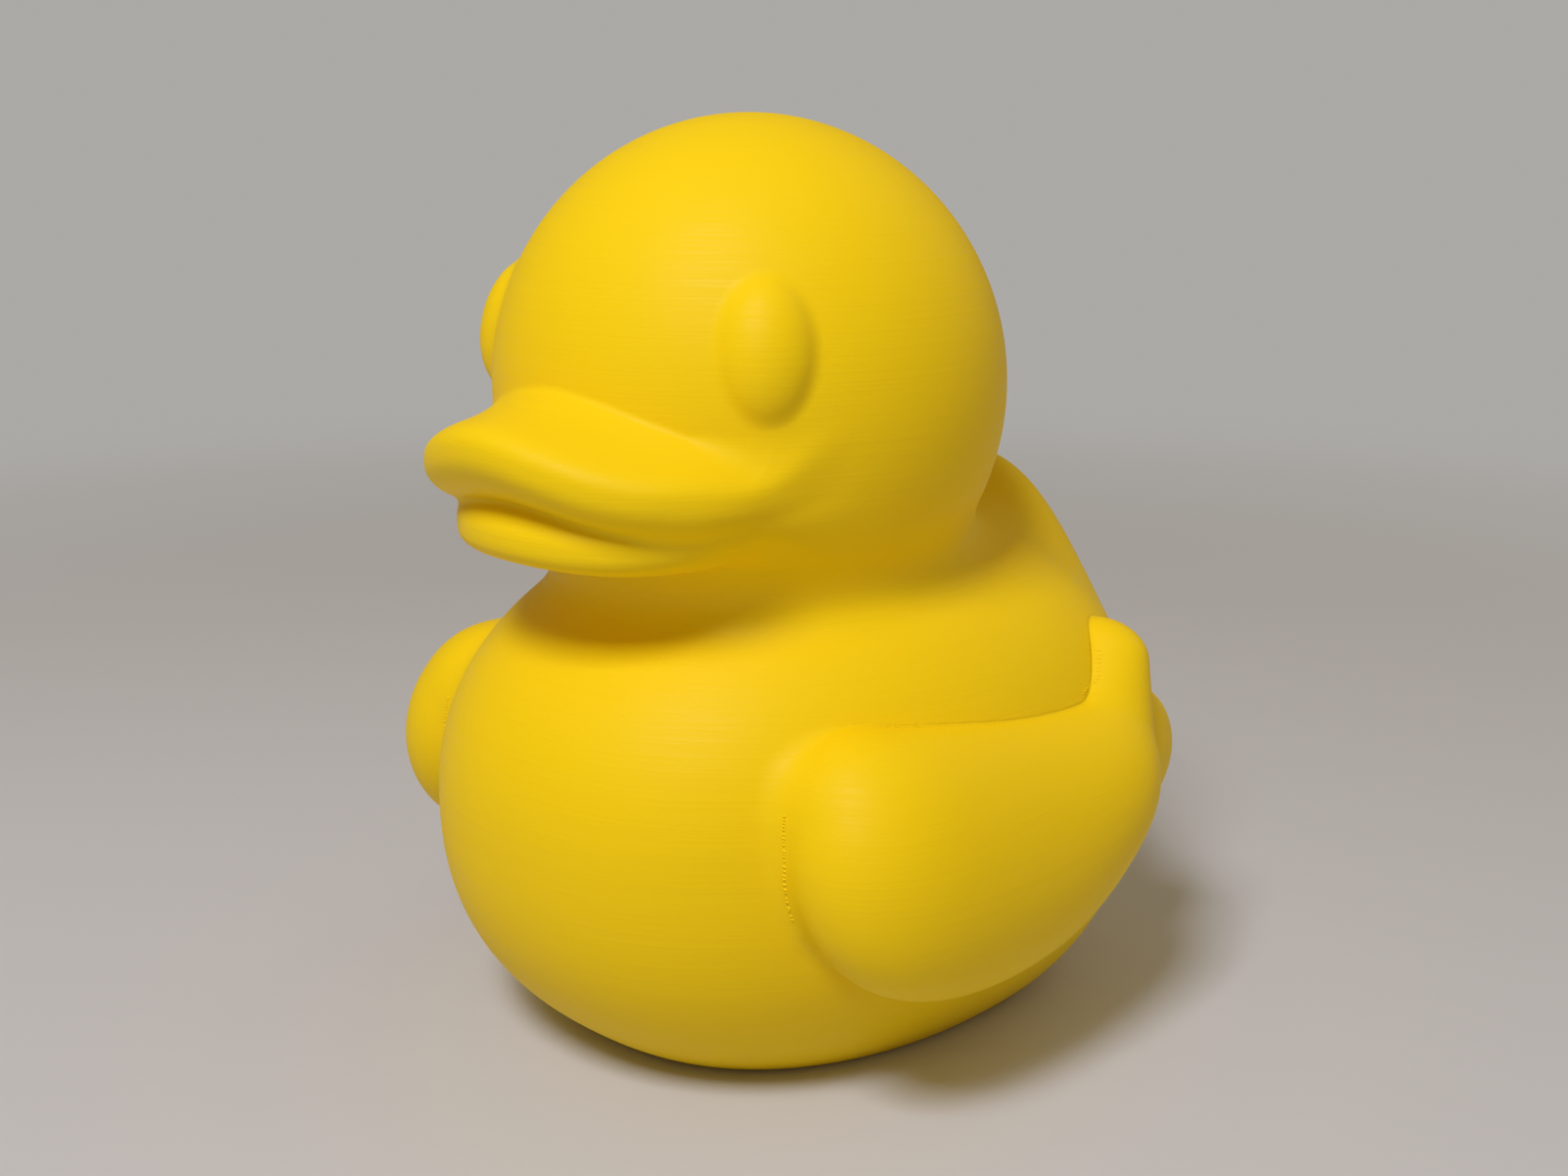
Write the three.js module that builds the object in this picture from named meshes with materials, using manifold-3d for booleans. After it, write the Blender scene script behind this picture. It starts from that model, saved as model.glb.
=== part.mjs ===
import * as THREE from 'three';
import { mergeVertices } from 'three/addons/utils/BufferGeometryUtils.js';
import Module from 'manifold-3d';

// A bath-duck figure printed in one piece: body with a tail, head, open bill, eyes and wings.
// Millimetres, +Z up. The duck faces -Y and its left side is +X.
// Lengths are taken from the widest section of the body, until the finished solid is centred.

// Body: an egg with squared shoulders, cut flat underneath where it stood on the print bed
const bodyWidth = 142;
const chestLength = 99;
const rumpLength = 67.8;
const bellyHeight = 52.7;
const crownRise = 61.5;
const keelDrop = 67.6;
const bodySquareness = 2.25;

// Head: nearly a ball, sunk into the top of the body with a soft neck
const headWidth = 111;
const headLength = 111;
const headHeight = 114.4;
const headForward = 27.7;
const headSink = 29.4;
const neckSoftness = 12.2;

// Tail: a leaning lobe that runs softly out of the back
const tailFootAft = 41.6;
const tailFootHeight = 77.5;
const tailTipAft = 49.8;
const tailTipHeight = 119.2;
const tailWidth = 71;
const tailThickness = 36.4;
const tailSoftness = 14.7;

// Upper bill, measured from the middle of the head
const upperBillForward = 35.6;
const upperBillDrop = 18.9;
const upperBillWidth = 85.8;
const upperBillLength = 40.4;
const upperBillThickness = 22.4;
const upperBillDroop = 15.3;
const upperBillFlare = 18.3;
const upperBillUpturn = 16.6;
const upperBillLip = 4.8;
const upperBillSaddle = 33.8;
const upperBillSquareness = 2.5;

// Lower bill, measured from the middle of the head
const lowerBillForward = 26.9;
const lowerBillDrop = 22.3;
const lowerBillWidth = 82;
const lowerBillLength = 42.9;
const lowerBillThickness = 15.7;
const lowerBillDroop = 7.8;
const lowerBillFlare = 9.3;
const lowerBillUpturn = -3.2;
const lowerBillSaddle = 1;
const lowerBillSquareness = 2.3;

// How gently the bill's saddle runs out at its ends, in half lengths
const saddleBend = 0.1;

// Eyes: raised ovals
const eyeTurn = 48.1;
const eyeLift = 13.9;
const eyeWidth = 20.5;
const eyeHeight = 29.3;
const eyeThickness = 17.4;
const eyeProud = 4.1;

// Wing: a fat comma along the side. Each station gives how far its middle lies inside the
// body's half width, its place aft and above the belly line, its half height and half thickness.
const wingStations = [
  { inset: 12, aft: -55.1, rise: 11.3, halfHeight: 18.9, halfThickness: 18.3 },
  { inset: 6.6, aft: -46.5, rise: 2, halfHeight: 26.8, halfThickness: 18.9 },
  { inset: 4.2, aft: -18.6, rise: -0.4, halfHeight: 25.5, halfThickness: 18.3 },
  { inset: 4.2, aft: 5.4, rise: 6.4, halfHeight: 19.3, halfThickness: 16.8 },
  { inset: 8, aft: 14.8, rise: 13.8, halfHeight: 14.7, halfThickness: 14.5 },
  { inset: 12.1, aft: 24.3, rise: 28.8, halfHeight: 8.4, halfThickness: 11.5 },
];
// How far the wing leans in over its height, and how its rays are spread from a place along it
const wingLean = 0.1;
const wingFlatness = 0.5;
const wingHeartShare = 0.6;

// Second feather of the wing, behind and below the curled tip
const featherInset = 14.5;
const featherAft = 30.6;
const featherRise = 2.5;
const featherThickness = 23;
const featherLength = 46;
const featherHeight = 36;
const featherSoftness = 2;

// Fineness: faces around and along each surface, ovals along a wing, and how closely skins are found
const trunkGrid = [76, 50];
const billGrid = [40, 18];
const eyeGrid = [18, 10];
const wingGrid = [28, 34];
const wingSteps = 32;
const rayHalvings = 40;
const weldDistance = 1e-4;
const tiny = 1e-9;

// Places that follow from the sizes
const bodyHalfWidth = bodyWidth / 2;
const crownHeight = bellyHeight + crownRise;
const headMiddle = new THREE.Vector3(0, -headForward, crownHeight - headSink + headHeight / 2);
const headHalf = new THREE.Vector3(headWidth / 2, headLength / 2, headHeight / 2);
const neckMiddle = new THREE.Vector3(0, -headForward / 2, crownHeight - headSink / 2);
const tailFoot = new THREE.Vector3(0, tailFootAft, tailFootHeight);
const tailTip = new THREE.Vector3(0, tailTipAft, tailTipHeight);
const overallReach = 2 * (chestLength + rumpLength + crownHeight + headHeight);

const wasm = await Module();
wasm.setup();

// A ball's faces with every vertex put where place(around, along) says, both from 0 to 1
function surface([facesAround, facesAlong], place) {
  const geometry = new THREE.SphereGeometry(1, facesAround, facesAlong);
  const position = geometry.attributes.position;
  for (let i = 0; i < position.count; i++) {
    const row = Math.floor(i / (facesAround + 1));
    const around = (i % (facesAround + 1)) / facesAround;
    const point = place(around % 1, row / facesAlong);
    position.setXYZ(i, point.x, point.y, point.z);
  }
  return geometry;
}

// The direction of a ball's point, with its poles at the top and the bottom
function direction(around, along) {
  const turn = 2 * Math.PI * around;
  const tilt = Math.PI * along;
  const level = Math.sin(tilt);
  return new THREE.Vector3(level * Math.cos(turn), level * Math.sin(turn), Math.cos(tilt));
}

function signedVolume(vertices, triangles) {
  const a = new THREE.Vector3();
  const b = new THREE.Vector3();
  const c = new THREE.Vector3();
  let volume = 0;
  for (let i = 0; i < triangles.length; i += 3) {
    a.fromArray(vertices, 3 * triangles[i]);
    b.fromArray(vertices, 3 * triangles[i + 1]);
    c.fromArray(vertices, 3 * triangles[i + 2]);
    volume += a.dot(b.cross(c)) / 6;
  }
  return volume;
}

// A closed geometry as a solid with its faces pointing out
function solid(geometry) {
  geometry.deleteAttribute('normal');
  geometry.deleteAttribute('uv');
  const merged = mergeVertices(geometry, weldDistance);
  const vertProperties = new Float32Array(merged.attributes.position.array);
  const corners = Array.from(merged.index.array);
  const triangles = [];
  for (let i = 0; i < corners.length; i += 3) {
    const [a, b, c] = [corners[i], corners[i + 1], corners[i + 2]];
    if (a !== b && b !== c && c !== a) triangles.push(a, b, c);
  }
  if (signedVolume(vertProperties, triangles) < 0) triangles.reverse();
  const triVerts = new Uint32Array(triangles);
  return new wasm.Manifold(new wasm.Mesh({ numProp: 3, vertProperties, triVerts }));
}

// Distance, near its surface, from an ellipsoid round the origin
function ellipsoidField(x, y, z, half) {
  const level = Math.hypot(x / half.x, y / half.y, z / half.z);
  const slope = Math.hypot(x / half.x ** 2, y / half.y ** 2, z / half.z ** 2);
  return level * (level - 1) / (slope + tiny);
}

// Distance from the egg, whose half lengths differ to the front, rear, top and bottom
function bodyField(p) {
  const halfLength = p.y < 0 ? chestLength : rumpLength;
  const halfHeight = p.z > bellyHeight ? crownRise : keelDrop;
  const x = Math.abs(p.x) / bodyHalfWidth;
  const y = Math.abs(p.y) / halfLength;
  const z = Math.abs(p.z - bellyHeight) / halfHeight;
  const sum = x ** bodySquareness + y ** bodySquareness + z ** bodySquareness;
  const slope = Math.hypot(x / bodyHalfWidth, y / halfLength, z / halfHeight) / (Math.hypot(x, y, z) + tiny);
  return (sum ** (1 / bodySquareness) - 1) / (slope + tiny);
}

function headField(p) {
  return ellipsoidField(p.x - headMiddle.x, p.y - headMiddle.y, p.z - headMiddle.z, headHalf);
}

// The tail is an ellipsoid round its foot, whose long axis ends at its tip
function tailField(p) {
  const along = tailTip.clone().sub(tailFoot);
  const half = new THREE.Vector3(tailWidth / 2, tailThickness / 2, along.length());
  along.normalize();
  const y = p.y - tailFoot.y;
  const z = p.z - tailFoot.z;
  return ellipsoidField(p.x, y * along.z - z * along.y, y * along.y + z * along.z, half);
}

// Joins two fields with a fillet of the given reach
function softJoin(a, b, reach) {
  const share = THREE.MathUtils.clamp(0.5 + 0.5 * (b - a) / reach, 0, 1);
  return b * (1 - share) + a * share - reach * share * (1 - share);
}

function trunkField(p) {
  const back = softJoin(bodyField(p), tailField(p), tailSoftness);
  return softJoin(back, headField(p), neckSoftness);
}

// Where a ray from inside a form leaves its skin, found by halving the stretch that holds it
function skinPoint(start, ray, field) {
  let inside = 0;
  let outside = overallReach;
  for (let halving = 0; halving < rayHalvings; halving++) {
    const middle = (inside + outside) / 2;
    if (field(start.clone().addScaledVector(ray, middle)) < 0) inside = middle;
    else outside = middle;
  }
  return start.clone().addScaledVector(ray, inside);
}

// Body, tail, neck and head as one skin: every ray from the middle of the neck leaves it once
function makeTrunk() {
  return surface(trunkGrid, (around, along) =>
    skinPoint(neckMiddle, direction(around, along), trunkField));
}

// A value where it is above nothing, and nothing below, with a round bend between the two
function ramp(value) {
  return (value + Math.hypot(value, saddleBend)) / 2;
}

// A bill half: a rounded slab whose middle surface droops to the sides, rises towards the tip,
// ends there in a lip and has a saddle at the root
function makeBill(size) {
  return surface(billGrid, (around, along) => {
    const ray = direction(around, along);
    const level = Math.hypot(ray.x, ray.y);
    const length = (level ** size.squareness + Math.abs(ray.z) ** size.squareness) ** (1 / size.squareness);
    const x = ray.x / length;
    const y = ray.y / length;
    const side = x ** 2;
    const ahead = THREE.MathUtils.clamp(-y, 0, 1);
    const upturn = size.upturn * Math.sign(-y) * y ** 2 - size.lip * ahead ** 6;
    const saddle = size.saddle * (1 - ramp(-y)) ** 2 * ramp(1 - side);
    const middle = upturn + saddle - size.droop * side + size.flare * side ** 2;
    return new THREE.Vector3(
      x * size.width / 2,
      headMiddle.y - size.forward + y * size.length,
      headMiddle.z - size.drop + middle + ray.z / length * size.thickness / 2,
    );
  });
}

const upperBillSize = {
  forward: upperBillForward,
  drop: upperBillDrop,
  width: upperBillWidth,
  length: upperBillLength,
  thickness: upperBillThickness,
  droop: upperBillDroop,
  flare: upperBillFlare,
  upturn: upperBillUpturn,
  lip: upperBillLip,
  saddle: upperBillSaddle,
  squareness: upperBillSquareness,
};

const lowerBillSize = {
  forward: lowerBillForward,
  drop: lowerBillDrop,
  width: lowerBillWidth,
  length: lowerBillLength,
  thickness: lowerBillThickness,
  droop: lowerBillDroop,
  flare: lowerBillFlare,
  upturn: lowerBillUpturn,
  lip: 0,
  saddle: lowerBillSaddle,
  squareness: lowerBillSquareness,
};

// An eye: an ellipsoid that looks out along the head's radius. side is 1 on the left, -1 on the right
function makeEye(side) {
  const turn = THREE.MathUtils.degToRad(eyeTurn);
  const lift = THREE.MathUtils.degToRad(eyeLift);
  const out = new THREE.Vector3(Math.cos(lift) * Math.sin(turn), -Math.cos(lift) * Math.cos(turn), Math.sin(lift));
  const across = new THREE.Vector3(Math.cos(turn), Math.sin(turn), 0);
  const up = new THREE.Vector3().crossVectors(across, out);
  if (up.z < 0) up.negate();
  const depth = eyeThickness / 2 - eyeProud;
  const middle = headMiddle.clone().add(out.clone().multiply(headHalf)).addScaledVector(out, -depth);
  return surface(eyeGrid, (around, along) => {
    const ray = direction(around, along);
    const point = middle.clone();
    point.addScaledVector(across, ray.x * eyeWidth / 2);
    point.addScaledVector(out, ray.y * eyeThickness / 2);
    point.addScaledVector(up, ray.z * eyeHeight / 2);
    point.x *= side;
    return point;
  });
}

// Ovals carried closely along a smooth path through the stations, as places and half sizes
function wingOvals() {
  const places = wingStations.map((station) =>
    new THREE.Vector3(bodyHalfWidth - station.inset, station.aft, bellyHeight + station.rise));
  const halves = wingStations.map((station) =>
    new THREE.Vector3(station.halfThickness, station.halfHeight, station.halfHeight));
  const path = new THREE.CatmullRomCurve3(places, false, 'catmullrom', 0.5);
  const sizes = new THREE.CatmullRomCurve3(halves, false, 'catmullrom', 0.5);
  const ovals = [];
  for (let k = 0; k <= wingSteps; k++) {
    ovals.push({ middle: path.getPoint(k / wingSteps), half: sizes.getPoint(k / wingSteps) });
  }
  return ovals;
}

// The wing is what its ovals sweep, leaning outwards below, with the second feather joined on
function wingField(p, ovals, feather) {
  let nearest = Infinity;
  for (const oval of ovals) {
    const z = p.z - oval.middle.z;
    const x = p.x - oval.middle.x + wingLean * z;
    nearest = Math.min(nearest, ellipsoidField(x, p.y - oval.middle.y, z, oval.half));
  }
  const behind = ellipsoidField(p.x - feather.middle.x, p.y - feather.middle.y, p.z - feather.middle.z, feather.half);
  return softJoin(nearest, behind, featherSoftness);
}

// Every ray from the wing's middle leaves the comma once. side is 1 on the left, -1 on the right
function makeWing(side) {
  const ovals = wingOvals();
  const feather = {
    middle: new THREE.Vector3(bodyHalfWidth - featherInset, featherAft, bellyHeight + featherRise),
    half: new THREE.Vector3(featherThickness / 2, featherLength / 2, featherHeight / 2),
  };
  const middle = ovals[Math.round(wingSteps * wingHeartShare)].middle;
  return surface(wingGrid, (around, along) => {
    const ray = direction(around, along);
    const spread = new THREE.Vector3(ray.x * wingFlatness, ray.z, ray.y).normalize();
    const point = skinPoint(middle, spread, (p) => wingField(p, ovals, feather));
    point.x *= side;
    return point;
  });
}

// Everything below the bed plane, to be cut away
function makeBed() {
  const bed = new THREE.BoxGeometry(overallReach, overallReach, overallReach);
  bed.translate(0, 0, -overallReach / 2);
  return bed;
}

// Fills any pocket that is closed in where two forms meet, as the print has none
function withoutVoids(shape) {
  const skins = shape.decompose().filter((skin) => skin.volume() > 0);
  return wasm.Manifold.compose(skins);
}

function makeDuck() {
  let duck = solid(makeTrunk());
  duck = duck.add(solid(makeBill(upperBillSize)));
  duck = duck.add(solid(makeBill(lowerBillSize)));
  for (const side of [1, -1]) {
    duck = duck.add(solid(makeEye(side)));
    duck = duck.add(solid(makeWing(side)));
  }
  duck = withoutVoids(duck.subtract(solid(makeBed())));
  const mesh = duck.getMesh();
  const geometry = new THREE.BufferGeometry();
  geometry.setAttribute('position', new THREE.BufferAttribute(new Float32Array(mesh.vertProperties), 3));
  geometry.setIndex(new THREE.BufferAttribute(new Uint32Array(mesh.triVerts), 1));
  geometry.computeVertexNormals();
  return geometry;
}

const yellowPlastic = new THREE.MeshStandardMaterial({ color: 0xf2c414, roughness: 0.5, metalness: 0 });

const duckGeometry = makeDuck();
duckGeometry.computeBoundingBox();
const extent = duckGeometry.boundingBox;

const duck = new THREE.Mesh(duckGeometry, yellowPlastic);
duck.name = 'duck';
duck.position.set(-(extent.min.x + extent.max.x) / 2, -(extent.min.y + extent.max.y) / 2, -extent.min.z);

const group = new THREE.Group();
group.add(duck);

export default group;
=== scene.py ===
import bpy
import numpy as np
from math import cos, radians, sin
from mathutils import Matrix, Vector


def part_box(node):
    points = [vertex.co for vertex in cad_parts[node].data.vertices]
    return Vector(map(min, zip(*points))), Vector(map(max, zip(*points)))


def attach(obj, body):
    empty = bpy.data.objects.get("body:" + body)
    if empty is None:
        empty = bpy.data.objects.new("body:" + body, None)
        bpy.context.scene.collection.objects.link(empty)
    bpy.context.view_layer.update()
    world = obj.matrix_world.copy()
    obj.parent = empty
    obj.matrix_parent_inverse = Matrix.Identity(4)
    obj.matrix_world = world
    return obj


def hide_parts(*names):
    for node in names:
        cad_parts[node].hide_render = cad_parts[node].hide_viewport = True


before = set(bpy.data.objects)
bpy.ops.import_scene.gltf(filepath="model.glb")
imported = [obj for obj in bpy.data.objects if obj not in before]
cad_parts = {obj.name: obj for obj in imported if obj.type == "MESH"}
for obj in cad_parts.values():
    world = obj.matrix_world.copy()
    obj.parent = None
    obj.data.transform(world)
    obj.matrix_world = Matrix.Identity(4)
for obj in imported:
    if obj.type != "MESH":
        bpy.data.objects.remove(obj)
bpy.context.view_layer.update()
scene = bpy.context.scene

# The trunk: body, tail, neck and head. It is one shell of yellow plastic, printed standing on
# its flat base, so the forms run into each other with soft fillets and without a seam.
# Places are measured from the body's widest section and from the base, and tiny keeps a
# division finite in the middle of a form.
body_half_width = 0.071
chest_length = 0.099
rump_length = 0.0678
belly_height = 0.0527
crown_rise = 0.0615
keel_drop = 0.0676
body_squareness = 2.25
head_half = np.array([0.0555, 0.0555, 0.0572])
head_forward = 0.0277
head_sink = 0.0294
neck_softness = 0.0122
tail_foot = np.array([0, 0.0416, 0.0775])
tail_tip = np.array([0, 0.0498, 0.1192])
tail_half_width = 0.0355
tail_half_thickness = 0.0182
tail_softness = 0.0147
bill_tip_forward = 0.1037
tiny = 1e-9

crown_height = belly_height + crown_rise
head_middle = np.array([0, -head_forward, crown_height - head_sink + head_half[2]])
neck_middle = np.array([0, -head_forward / 2, crown_height - head_sink / 2])
box_low, box_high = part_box("duck")
widest_section = np.array([0, box_low.y + bill_tip_forward, 0])


def ellipsoid_distance(p, middle, half):
    """Near its skin, the distance from an ellipsoid. The level is a point's length in half sizes,
    and the distance is level times (level - 1) over the length of the point in squared half sizes."""
    q = (p - middle) / half
    level = np.linalg.norm(q, axis=-1)
    return level * (level - 1) / (np.linalg.norm(q / half, axis=-1) + tiny)


def egg_distance(p):
    """Near its skin, the distance from a squared egg: the root of the summed powers of the offsets
    in half sizes, less one, over its slope. Front, rear, top and bottom have their own half sizes."""
    half = np.stack([
        np.full(p.shape[:-1], body_half_width),
        np.where(p[..., 1] < 0, chest_length, rump_length),
        np.where(p[..., 2] > belly_height, crown_rise, keel_drop),
    ], axis=-1)
    q = np.abs(p - np.array([0, 0, belly_height])) / half
    level = (q ** body_squareness).sum(axis=-1) ** (1 / body_squareness)
    slope = np.linalg.norm(q / half, axis=-1) / (np.linalg.norm(q, axis=-1) + tiny)
    return (level - 1) / (slope + tiny)


def tail_distance(p):
    """The distance from an ellipsoid round the tail's foot, with its long axis ending at the tip."""
    along = tail_tip - tail_foot
    length = np.linalg.norm(along)
    along = along / length
    y = p[..., 1] - tail_foot[1]
    z = p[..., 2] - tail_foot[2]
    turned = np.stack([p[..., 0], y * along[2] - z * along[1], y * along[1] + z * along[2]], axis=-1)
    return ellipsoid_distance(turned, np.zeros(3), np.array([tail_half_width, tail_half_thickness, length]))


def soft_join(a, b, reach):
    """The smaller of two distances, less a parabola where they differ by under the reach, which
    makes a fillet between the two forms."""
    share = np.clip(0.5 + 0.5 * (b - a) / reach, 0, 1)
    return b * (1 - share) + a * share - reach * share * (1 - share)


def trunk_distance(p):
    """The egg and the tail joined with a long fillet, and then the head with a short one."""
    back = soft_join(egg_distance(p), tail_distance(p), tail_softness)
    return soft_join(back, ellipsoid_distance(p, head_middle, head_half), neck_softness)


halvings = 32
trunk_columns = 300
trunk_rows = 260
trunk_reach = 0.3


def ball(columns, rows):
    """Directions all round: the tilt goes from the top pole to the bottom one over the rows, and
    the turn goes once round over the columns."""
    tilt, turn = np.meshgrid(
        np.linspace(0, np.pi, rows + 1), np.linspace(0, 2 * np.pi, columns, endpoint=False), indexing="ij")
    return np.stack([np.sin(tilt) * np.cos(turn), np.sin(tilt) * np.sin(turn), np.cos(tilt)], axis=-1)


def skin_along(rays, start, distance, reach):
    """Where each ray from the start leaves a form, by halving the stretch that holds the skin."""
    inside = np.zeros(rays.shape[:-1])
    outside = np.full(rays.shape[:-1], reach)
    for halving in range(halvings):
        middle = (inside + outside) / 2
        within = distance(start + rays * middle[..., None]) < 0
        inside = np.where(within, middle, inside)
        outside = np.where(within, outside, middle)
    return start + rays * inside[..., None]


trunk_grid = skin_along(ball(trunk_columns, trunk_rows), neck_middle, trunk_distance, trunk_reach)
trunk_grid[..., 2] = np.maximum(trunk_grid[..., 2], 0)


# The bill: an upper and a lower half, printed open with a narrow mouth between them. The upper
# half is thick at its sides and swells up to a saddle where it grows out of the face.
upper_bill = {
    "forward": 0.0356,
    "drop": 0.0189,
    "half_width": 0.0429,
    "length": bill_tip_forward - head_forward - 0.0356,
    "half_thickness": 0.0112,
    "droop": 0.0153,
    "flare": 0.0183,
    "upturn": 0.0166,
    "lip": 0.0034,
    "saddle": 0.0338,
    "squareness": 2.5,
}
lower_bill = {
    "forward": 0.0269,
    "drop": 0.0205,
    "half_width": 0.041,
    "length": 0.0429,
    "half_thickness": 0.00965,
    "droop": 0.0078,
    "flare": 0.0093,
    "upturn": -0.0032,
    "lip": 0,
    "saddle": 0.001,
    "squareness": 2.7,
}
ramp_bend = 0.01
mouth_softness = 0.0017
mouth_corner_softness = 0.005
mouth_corner = 0.026
mouth_corner_width = 0.012
bill_softness = 0.0009
cheek_softness = 0.006
cheek_start = 0.03
cheek_width = 0.012
bill_limit = 1.3
bill_columns = 160
bill_rows = 90


def ramp(value):
    """The value where it is above nothing and nothing below, with a round bend between the two."""
    return (value + np.sqrt(value ** 2 + ramp_bend)) / 2


def bill_middle(x, y, size):
    """Height of a bill half's middle surface: the upturn by the square of the way forward, less a
    lip at the very tip, a saddle at the root, and a droop by the square, less a flare by the fourth
    power, of the way out."""
    upturn = size["upturn"] * np.sign(-y) * y ** 2 - size["lip"] * np.clip(-y, 0, 1) ** 6
    saddle = size["saddle"] * (1 - ramp(-y)) ** 2 * ramp(1 - x ** 2)
    return upturn + saddle - size["droop"] * x ** 2 + size["flare"] * x ** 4


def bill_distance(p, size):
    """Near its skin, the distance from a rounded slab that follows the middle surface: round seen
    from above, and squared at the edge."""
    half = np.array([size["half_width"], size["length"], size["half_thickness"]])
    q = (p - head_middle - np.array([0, -size["forward"], -size["drop"]])) / half
    x = np.clip(np.abs(q[..., 0]), 0, bill_limit)
    y = np.clip(q[..., 1], -bill_limit, 1)
    z = np.abs(q[..., 2] - bill_middle(x, y, size) / half[2])
    n = size["squareness"]
    across = q[..., 0] ** 2 + q[..., 1] ** 2
    level = (across ** (n / 2) + z ** n) ** (1 / n)
    flat = np.stack([np.abs(q[..., 0]), np.abs(q[..., 1]), z], axis=-1)
    slope = np.linalg.norm(flat / half, axis=-1) / (np.linalg.norm(flat, axis=-1) + tiny)
    return (level - 1) / (slope + tiny)


def bill_grid(columns, rows, size):
    """The slab's skin: each direction is cut to the length at which its squared level is one, and
    lifted by the middle surface."""
    ray = ball(columns, rows)
    n = size["squareness"]
    level = np.hypot(ray[..., 0], ray[..., 1])
    length = (level ** n + np.abs(ray[..., 2]) ** n) ** (1 / n)
    x = ray[..., 0] / length
    y = ray[..., 1] / length
    forward = y * size["length"] - size["forward"]
    z = ray[..., 2] / length * size["half_thickness"] + bill_middle(x, y, size) - size["drop"]
    return head_middle + np.stack([x * size["half_width"], forward, z], axis=-1)


upper_bill_grid = bill_grid(bill_columns, bill_rows, upper_bill)
lower_bill_grid = bill_grid(bill_columns, bill_rows, lower_bill)


# The eyes: two plain ovals that stand out of the head by a few millimetres, printed with it and
# in the same plastic, each looking out along the head's own radius.
eye_turn = radians(48.1)
eye_lift = radians(13.9)
eye_half = np.array([0.01025, 0.01465, 0.0087])
eye_proud = 0.0041
eye_softness = 0.0014
eye_columns = 60
eye_rows = 40

eye_out = np.array([cos(eye_lift) * sin(eye_turn), -cos(eye_lift) * cos(eye_turn), sin(eye_lift)])
eye_across = np.array([cos(eye_turn), sin(eye_turn), 0])
eye_up = np.cross(eye_across, eye_out) * np.sign(np.cross(eye_across, eye_out)[2])
eye_middle = head_middle + eye_out * head_half - eye_out * (eye_half[2] - eye_proud)


def eye_distance(p):
    """The distance from an ellipsoid whose axes are the eye's width, its height and its way out."""
    q = p - eye_middle
    turned = np.stack([q @ eye_across, q @ eye_up, q @ eye_out], axis=-1)
    return ellipsoid_distance(turned, np.zeros(3), eye_half)


def eye_grid(columns, rows):
    """The ellipsoid's skin in the same three axes."""
    ray = ball(columns, rows) * eye_half
    return eye_middle + ray[..., :1] * eye_across + ray[..., 1:2] * eye_up + ray[..., 2:] * eye_out


left_eye_grid = eye_grid(eye_columns, eye_rows)


# The wings: fat commas along the sides with a large front lobe, a waist and a tip that curls up,
# and behind the tip a second, smaller feather. They are part of the same print.
# Each row of stations holds: inset from the body's half width, way aft, rise above the belly
# line, half thickness and half height.
wing_stations = np.array([
    [0.0120, -0.0551, 0.0113, 0.0183, 0.0189],
    [0.0066, -0.0465, 0.0020, 0.0189, 0.0268],
    [0.0042, -0.0186, -0.0004, 0.0183, 0.0255],
    [0.0042, 0.0054, 0.0055, 0.0168, 0.0184],
    [0.0080, 0.0148, 0.0132, 0.0145, 0.0141],
    [0.0121, 0.0243, 0.0288, 0.0115, 0.0084],
])
wing_lean = 0.1
wing_softness = 0.0006
wing_front_softness = 0.0055
wing_front = -0.056
wing_front_width = 0.014
feather_middle = np.array([body_half_width - 0.0145, 0.0306, belly_height + 0.0025])
feather_half = np.array([0.0115, 0.0230, 0.0180])
feather_softness = 0.0008
wing_ovals = 54
wing_blend = 0.0003
wing_heart_share = 0.6
wing_columns = 120
wing_rows = 140
wing_ray_shape = np.array([0.5, 1, 1])
wing_reach = 0.2


def smooth_path(points, count):
    """A Catmull-Rom curve: between two points it is the cubic whose slope at each is half the step
    between that point's neighbours."""
    ends = np.concatenate([[2 * points[0] - points[1]], points, [2 * points[-1] - points[-2]]])
    along = np.linspace(0, len(points) - 1, count)
    k = np.minimum(along.astype(int), len(points) - 2)
    w = (along - k)[:, None]
    a, b, c, d = ends[k], ends[k + 1], ends[k + 2], ends[k + 3]
    return b + 0.5 * w * (c - a + w * (2 * a - 5 * b + 4 * c - d + w * (3 * (b - c) + d - a)))


wing_path = smooth_path(wing_stations, wing_ovals)
wing_places = wing_path[:, :3] * np.array([-1, 1, 1]) + np.array([body_half_width, 0, belly_height])
wing_halves = wing_path[:, [3, 4, 4]]


def comma_distance(p):
    """The distance from the ovals along the wing's path, each leaning in over its height: an average
    in which an oval counts less by a power of e for each blend length that it is farther away."""
    offset = p[..., None, :] - wing_places
    offset[..., 0] += wing_lean * offset[..., 2]
    each = ellipsoid_distance(offset, np.zeros(3), wing_halves)
    share = np.exp((each.min(axis=-1, keepdims=True) - each) / wing_blend)
    return (share * each).sum(axis=-1) / share.sum(axis=-1)


def wing_distance(p):
    """The comma and its second feather, joined with a small fillet."""
    feather = ellipsoid_distance(p, feather_middle, feather_half)
    return soft_join(comma_distance(p), feather, feather_softness)


# The rays start in the heart of the comma, with their poles fore and aft and fewer of them sideways.
wing_heart = wing_places[int(wing_heart_share * wing_ovals)]
wing_rays = ball(wing_columns, wing_rows)[..., [0, 2, 1]] * wing_ray_shape
wing_rays = wing_rays / np.linalg.norm(wing_rays, axis=-1, keepdims=True)
wing_grid = skin_along(wing_rays, wing_heart, wing_distance, wing_reach)


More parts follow.
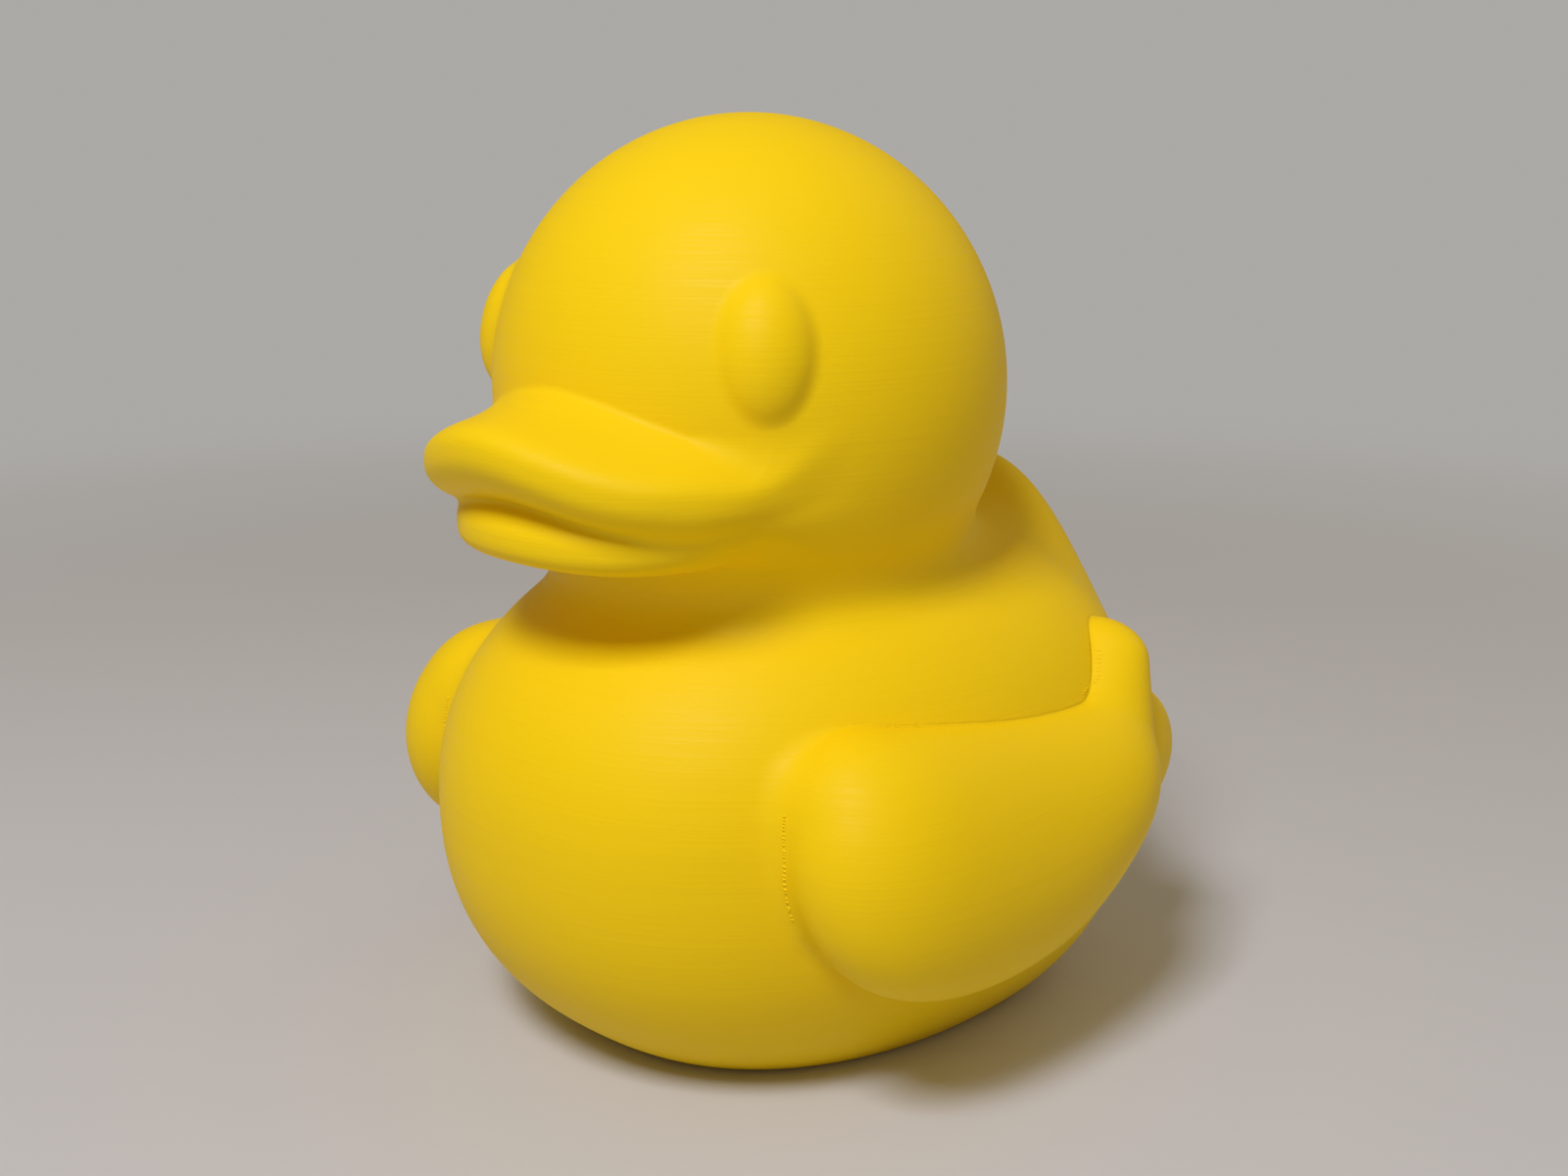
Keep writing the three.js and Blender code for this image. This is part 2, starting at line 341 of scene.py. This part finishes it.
# The print: all forms above are one piece. Their closed skins are filled as one solid, and every
# point of its skin then settles on the joined forms, with the fillets that the print has.
base_softness = 0.0012
wing_inner = 0.04
wing_bottom = 0.015
wing_top = 0.105
far_off = 0.1
voxel = 0.0008
most_triangles = 180000
settle_rounds = 4
settle_reach = 0.002
slope_step = 0.00005
smoothing = 0.5
lead_reach = 0.01


def folded(p):
    """The points as seen from the body's widest section, with the right half laid on the left."""
    p = p - widest_section
    p[..., 0] = np.abs(p[..., 0])
    return p


def by_the_wing(p):
    """Which points lie in the stretch of width and height that holds the wing."""
    return (p[..., 0] > wing_inner) & (p[..., 2] > wing_bottom) & (p[..., 2] < wing_top)


def duck_distance(p):
    """All forms joined, each with its own reach. The right half is the left one mirrored, and the
    base is where the height is nothing, with a slightly rounded edge."""
    p = folded(p)
    corner = np.clip((p[..., 0] - mouth_corner) / mouth_corner_width, 0, 1)
    mouth = mouth_softness + (mouth_corner_softness - mouth_softness) * corner
    bill = soft_join(bill_distance(p, upper_bill), bill_distance(p, lower_bill), mouth)
    cheek = np.clip((p[..., 0] - cheek_start) / cheek_width, 0, 1)
    whole = soft_join(trunk_distance(p), bill, bill_softness + (cheek_softness - bill_softness) * cheek)
    whole = soft_join(whole, eye_distance(p), eye_softness)
    wing = np.full(whole.shape, far_off)
    near = by_the_wing(p)
    wing[near] = wing_distance(p[near])
    front = np.clip((wing_front - p[..., 1]) / wing_front_width, 0, 1)
    whole = soft_join(whole, wing, wing_softness + (wing_front_softness - wing_softness) * front)
    return -soft_join(-whole, p[..., 2], base_softness)


def wing_leads(p):
    """How much nearer each point is to the wing than to the body, and to the feather than to the
    comma: nothing on the line where the two meet."""
    p = folded(p)
    leads = np.full((2, len(p)), -lead_reach)
    near = by_the_wing(p)
    q = p[near]
    leads[0, near] = trunk_distance(q) - wing_distance(q)
    leads[1, near] = comma_distance(q) - ellipsoid_distance(q, feather_middle, feather_half)
    return np.clip(leads, -lead_reach, lead_reach)


def slope_of(p):
    """How the distance grows along x, y and z, from the difference over a small step either way."""
    steps = slope_step * np.eye(3)
    growth = [duck_distance(p + step) - duck_distance(p - step) for step in steps]
    return np.stack(growth, axis=-1) / (2 * slope_step)


def settled(p):
    """The points moved along the slope on to the skin, by the distance over the slope's length, and
    the directions of the slope there."""
    slope = slope_of(p)
    steepness = np.linalg.norm(slope, axis=-1, keepdims=True) + tiny
    step = np.clip(duck_distance(p)[:, None] / steepness, -settle_reach, settle_reach)
    return p - slope / steepness * step, slope / steepness


def closed_faces(rows, columns, first):
    """The faces of a ball of rows and columns whose poles are one vertex each, numbered from first."""
    top = first
    bottom = first + 1 + (rows - 1) * columns
    ring = np.arange(rows - 1)[:, None] * columns + np.arange(columns)[None] + first + 1
    beside = np.roll(ring, -1, axis=1)
    quads = np.stack([ring[:-1], ring[1:], beside[1:], beside[:-1]], axis=-1).reshape(-1, 4)
    caps = [(top, a, b) for a, b in zip(ring[0], beside[0])]
    caps += [(bottom, b, a) for a, b in zip(ring[-1], beside[-1])]
    return [tuple(map(int, f)) for f in caps] + quads.tolist()


def closed_mesh(name, grids):
    """A mesh that holds each grid as a closed ball, whose first and last rows are one vertex each."""
    vertices = []
    faces = []
    for grid in grids:
        faces += closed_faces(grid.shape[0] - 1, grid.shape[1], sum(map(len, vertices)))
        vertices.append(np.concatenate([grid[0, :1], grid[1:-1].reshape(-1, 3), grid[-1, :1]]))
    mesh = bpy.data.meshes.new(name)
    mesh.from_pydata(np.concatenate(vertices).tolist(), [], faces)
    return mesh


def mirrored(grid):
    """The same grid on the duck's right side, with its columns reversed so that it still faces out."""
    return grid[:, ::-1] * np.array([-1, 1, 1])


grids = [trunk_grid, upper_bill_grid, lower_bill_grid]
for grid in (left_eye_grid, wing_grid):
    grids += [grid, mirrored(grid)]
rough = bpy.data.objects.new("rough", closed_mesh("rough", [grid + widest_section for grid in grids]))
scene.collection.objects.link(rough)
fill = rough.modifiers.new("fill", "REMESH")
fill.mode = "VOXEL"
fill.voxel_size = voxel
filled = rough.evaluated_get(bpy.context.evaluated_depsgraph_get()).data
triangles = sum(len(face.vertices) - 2 for face in filled.polygons)
thin = rough.modifiers.new("thin", "DECIMATE")
thin.ratio = min(1, most_triangles / triangles)
duck_mesh = bpy.data.meshes.new_from_object(rough.evaluated_get(bpy.context.evaluated_depsgraph_get()))
bpy.data.objects.remove(rough)

points = np.empty(len(duck_mesh.vertices) * 3)
duck_mesh.vertices.foreach_get("co", points)
points = points.reshape(-1, 3)
edges = np.empty(len(duck_mesh.edges) * 2, int)
duck_mesh.edges.foreach_get("vertices", edges)
edges = edges.reshape(-1, 2)
ends = np.concatenate([edges, edges[:, ::-1]])
neighbours = np.bincount(ends[:, 0], minlength=len(points))[:, None]
for settling in range(settle_rounds):
    points, slope = settled(points)
    sums = [np.bincount(ends[:, 0], points[ends[:, 1], k], len(points)) for k in range(3)]
    drift = np.stack(sums, axis=-1) / neighbours - points
    drift -= slope * (drift * slope).sum(axis=-1, keepdims=True)
    points = points + smoothing * drift
points, slope = settled(points)
points, slope = settled(points)
points[:, 2] = np.clip(points[:, 2], 0, box_high.z)
duck_mesh.vertices.foreach_set("co", points.ravel())
duck_mesh.shade_smooth()
duck_mesh.normals_split_custom_set_from_vertices(slope)
for name, values in zip(("wing_lead", "feather_lead"), wing_leads(points)):
    duck_mesh.attributes.new(name, "FLOAT", "POINT").data.foreach_set("value", values)
duck_mesh.update()
duck = bpy.data.objects.new("duck_print", duck_mesh)
scene.collection.objects.link(duck)


# Yellow printing plastic: matte, laid down in level layers a fifth of a millimetre high. Each is a
# rounded bead that bulges slightly and never quite as the one below. Where the wing meets the body,
# and the feather the comma, the outline of each layer turns sharply and leaves a fine groove.
plastic_colour = (0.92, 0.635, 0.004, 1)
plastic_specular = 0.12
smoothest = 0.42
roughest = 0.6
streak_low = 0.3
streak_high = 0.7
layer_height = 0.0002
bead_depth = 0.00005
streak_scale = (35, 35, 2200)
band_scale = (12, 12, 420)
grain_scale = (7000, 7000, 7000)
streak_weight = 0.8
grain_weight = 0.15
bead_weight = 0.15
groove_half_width = 0.0004
groove_depth = 0.0002
groove_start = -0.064
groove_full = -0.042

plastic = bpy.data.materials.new("yellow_plastic")
plastic.use_nodes = True
nodes = plastic.node_tree.nodes
links = plastic.node_tree.links
shader = nodes["Principled BSDF"]
shader.inputs["Base Color"].default_value = plastic_colour
shader.inputs["Specular IOR Level"].default_value = plastic_specular


def combined(operation, *values):
    """A node output that combines the values, each of them a node output or a plain number."""
    node = nodes.new("ShaderNodeMath")
    node.operation = operation
    for socket, value in zip(node.inputs, values):
        if isinstance(value, (int, float)):
            socket.default_value = value
        else:
            links.new(value, socket)
    return node.outputs[0]


def stretched_noise(place, scale, detail):
    """Noise over the places stretched by the three scales, from 0 to 1."""
    stretch = nodes.new("ShaderNodeMapping")
    stretch.inputs["Scale"].default_value = scale
    noise = nodes.new("ShaderNodeTexNoise")
    noise.inputs["Scale"].default_value = 1
    noise.inputs["Detail"].default_value = detail
    links.new(place, stretch.inputs["Vector"])
    links.new(stretch.outputs["Vector"], noise.inputs["Vector"])
    return noise.outputs["Fac"]


def lead_of(name):
    """The skin's own value of the named attribute."""
    attribute = nodes.new("ShaderNodeAttribute")
    attribute.attribute_name = name
    return attribute.outputs["Fac"]


def groove_along(lead):
    """One on the line where the lead is nothing, fading by the square of the way off that line."""
    way = combined("DIVIDE", lead, groove_half_width)
    return combined("EXPONENT", combined("MULTIPLY", combined("MULTIPLY", way, way), -1))


place = nodes.new("ShaderNodeTexCoord").outputs["Object"]
height = nodes.new("ShaderNodeSeparateXYZ")
links.new(place, height.inputs[0])
beads = combined("MULTIPLY", height.outputs["Z"], np.pi / layer_height)
scallops = combined("ABSOLUTE", combined("SINE", beads))
streaks = stretched_noise(place, streak_scale, 2)
bands = stretched_noise(place, band_scale, 1)
grain = stretched_noise(place, grain_scale, 0)
relief = combined("MULTIPLY_ADD", streaks, streak_weight, bands)
relief = combined("MULTIPLY_ADD", grain, grain_weight, relief)
relief = combined("MULTIPLY_ADD", scallops, bead_weight, relief)

# The wing's groove runs out towards the front, where the wing blends into the body. The feather's
# is cut only where the wing is the outer form.
wing_lead = lead_of("wing_lead")
rear = nodes.new("ShaderNodeMapRange")
rear.interpolation_type = "SMOOTHSTEP"
rear.inputs["From Min"].default_value = widest_section[1] + groove_start
rear.inputs["From Max"].default_value = widest_section[1] + groove_full
links.new(height.outputs["Y"], rear.inputs["Value"])
on_wing = combined("GREATER_THAN", wing_lead, 0)
wing_groove = combined("MULTIPLY", groove_along(wing_lead), rear.outputs["Result"])
feather_groove = combined("MULTIPLY", groove_along(lead_of("feather_lead")), on_wing)
for groove in (wing_groove, feather_groove):
    relief = combined("MULTIPLY_ADD", groove, -groove_depth / bead_depth, relief)
bump = nodes.new("ShaderNodeBump")
bump.inputs["Strength"].default_value = 1
bump.inputs["Distance"].default_value = bead_depth
links.new(relief, bump.inputs["Height"])
links.new(bump.outputs["Normal"], shader.inputs["Normal"])
gloss = nodes.new("ShaderNodeMapRange")
gloss.inputs["From Min"].default_value = streak_low
gloss.inputs["From Max"].default_value = streak_high
gloss.inputs["To Min"].default_value = smoothest
gloss.inputs["To Max"].default_value = roughest
links.new(streaks, gloss.inputs["Value"])
links.new(gloss.outputs["Result"], shader.inputs["Roughness"])
duck_mesh.materials.clear()
duck_mesh.materials.append(plastic)

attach(duck, "root")
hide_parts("duck")


# The marks of printing: where each layer begins, the nozzle leaves a small dot along the front of
# the wing, and short level ridges stand on the inner edge of its curled tip.
mark_seed = 5
dot_count = 26
dot_path = np.array([[0.0534, -0.0726, 0.0690], [0.0545, -0.0735, 0.0600], [0.0543, -0.0707, 0.0480]])
dot_half = np.array([0.0005, 0.0003, 0.00028])
ridge_count = 13
ridge_path = np.array([[0.0630, 0.0163, 0.0852], [0.0660, 0.0125, 0.0809], [0.0672, 0.0070, 0.0783]])
ridge_half = np.array([0.0009, 0.00014, 0.00022])
dot_unevenness = 1.4
ridge_unevenness = 0.3
smallest_mark = 0.6
largest_mark = 1.2
mark_columns = 12
mark_rows = 8
chance = np.random.default_rng(mark_seed)


def marks_along(path, count, half, unevenness):
    """Small ovals set on the skin along a bent path, each turned to the skin's own level direction."""
    shift = chance.uniform(-0.5, 0.5, count) * unevenness / count
    along = np.linspace(0, len(path) - 1, count) + shift
    middle = np.stack([np.interp(along, range(len(path)), path[:, k]) for k in range(3)], axis=-1)
    middle, out = settled(settled(middle + widest_section)[0])
    level = np.cross(out, [0, 0, 1])
    level /= np.linalg.norm(level, axis=-1, keepdims=True)
    axes = np.stack([level, out, np.cross(level, out)], axis=1)
    size = half * chance.uniform(smallest_mark, largest_mark, (count, 3))
    ovals = np.einsum("rca,na,nab->nrcb", ball(mark_columns, mark_rows), size, axes)
    return list(ovals + middle[:, None, None])


dots = marks_along(dot_path, dot_count, dot_half, dot_unevenness)
ridges = marks_along(ridge_path, ridge_count, ridge_half, ridge_unevenness)
left_marks = dots + ridges
marks_mesh = closed_mesh("print_marks", left_marks + [mirrored(mark) for mark in left_marks])
marks_mesh.shade_smooth()
marks_mesh.materials.append(plastic)
marks = bpy.data.objects.new("print_marks", marks_mesh)
scene.collection.objects.link(marks)
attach(marks, "root")


# The table: a plain pale floor that fades at a distance into the backdrop's own tone, so that no
# edge shows behind the duck.
floor_size = 12
floor_tone = (0.6, 0.61, 0.66, 1)
floor_roughness = 0.6
backdrop_tone = (0.41, 0.4, 0.385, 1)
fade_start = 0.28
fade_end = 0.95

floor_mesh = bpy.data.meshes.new("floor")
floor_corners = [(x * floor_size, y * floor_size, 0) for x, y in ((-1, -1), (1, -1), (1, 1), (-1, 1))]
floor_mesh.from_pydata(floor_corners, [], [(0, 1, 2, 3)])
floor = bpy.data.objects.new("floor", floor_mesh)
scene.collection.objects.link(floor)
floor_paint = bpy.data.materials.new("pale_floor")
floor_paint.use_nodes = True
nodes = floor_paint.node_tree.nodes
links = floor_paint.node_tree.links
nodes["Principled BSDF"].inputs["Base Color"].default_value = floor_tone
nodes["Principled BSDF"].inputs["Roughness"].default_value = floor_roughness
far = nodes.new("ShaderNodeVectorMath")
far.operation = "LENGTH"
links.new(nodes.new("ShaderNodeTexCoord").outputs["Object"], far.inputs[0])
fade = nodes.new("ShaderNodeMapRange")
fade.interpolation_type = "SMOOTHSTEP"
fade.inputs["From Min"].default_value = fade_start
fade.inputs["From Max"].default_value = fade_end
links.new(far.outputs["Value"], fade.inputs["Value"])
glow = nodes.new("ShaderNodeEmission")
glow.inputs["Color"].default_value = backdrop_tone
blend = nodes.new("ShaderNodeMixShader")
links.new(fade.outputs["Result"], blend.inputs["Fac"])
links.new(nodes["Principled BSDF"].outputs["BSDF"], blend.inputs[1])
links.new(glow.outputs["Emission"], blend.inputs[2])
links.new(blend.outputs["Shader"], nodes["Material Output"].inputs["Surface"])
floor_mesh.materials.append(floor_paint)


# The camera looks slightly down on the duck from its front left, as from a seat at the table.
camera_offset = np.array([0.2743, -0.3042, 0.1942])
camera_heading = radians(43.69)
camera_dip = radians(14.13)
camera_lens = 41.18
camera_sensor = 36
camera_near = 0.01
camera_data = bpy.data.cameras.new("camera")
camera_data.sensor_fit = "HORIZONTAL"
camera_data.sensor_width = camera_sensor
camera_data.lens = camera_lens
camera_data.clip_start = camera_near
camera = bpy.data.objects.new("camera", camera_data)
camera.location = widest_section + camera_offset
camera.rotation_euler = (radians(90) - camera_dip, 0, camera_heading)
scene.collection.objects.link(camera)
scene.camera = camera


# The light: a soft lamp at the front left, high up, a weak wide one behind the duck, and a warm
# glow from the room all round. Straight from the camera the room has the backdrop's tone.
room_tone = (0.28, 0.225, 0.14, 1)
lamp_aim = (0, 0, 0.1)

world = bpy.data.worlds.new("room")
world.use_nodes = True
nodes = world.node_tree.nodes
links = world.node_tree.links
room = nodes["Background"]
room.inputs["Color"].default_value = room_tone
backdrop = nodes.new("ShaderNodeBackground")
backdrop.inputs["Color"].default_value = backdrop_tone
blend = nodes.new("ShaderNodeMixShader")
links.new(nodes.new("ShaderNodeLightPath").outputs["Is Camera Ray"], blend.inputs["Fac"])
links.new(room.outputs["Background"], blend.inputs[1])
links.new(backdrop.outputs["Background"], blend.inputs[2])
links.new(blend.outputs["Shader"], nodes["World Output"].inputs["Surface"])
scene.world = world


def soft_lamp(name, place, size, power, colour):
    """A square lamp of the given size, turned and tipped so that it faces the middle of the duck."""
    light = bpy.data.lights.new(name, "AREA")
    light.shape = "SQUARE"
    light.size = size
    light.energy = power
    light.color = colour
    lamp = bpy.data.objects.new(name, light)
    lamp.location = place
    x, y, z = np.array(lamp_aim) - np.array(place)
    lamp.rotation_euler = (np.pi / 2 + np.arctan2(z, np.hypot(x, y)), 0, np.arctan2(-x, y))
    scene.collection.objects.link(lamp)


soft_lamp("window", place=(0.265, -0.76, 1.12), size=0.35, power=11.7, colour=(1, 0.99, 1.03))
soft_lamp("far_wall", place=(0.5, 1.1, 0.9), size=1.5, power=2.4, colour=(1, 0.96, 0.9))

scene.view_settings.view_transform = "Standard"
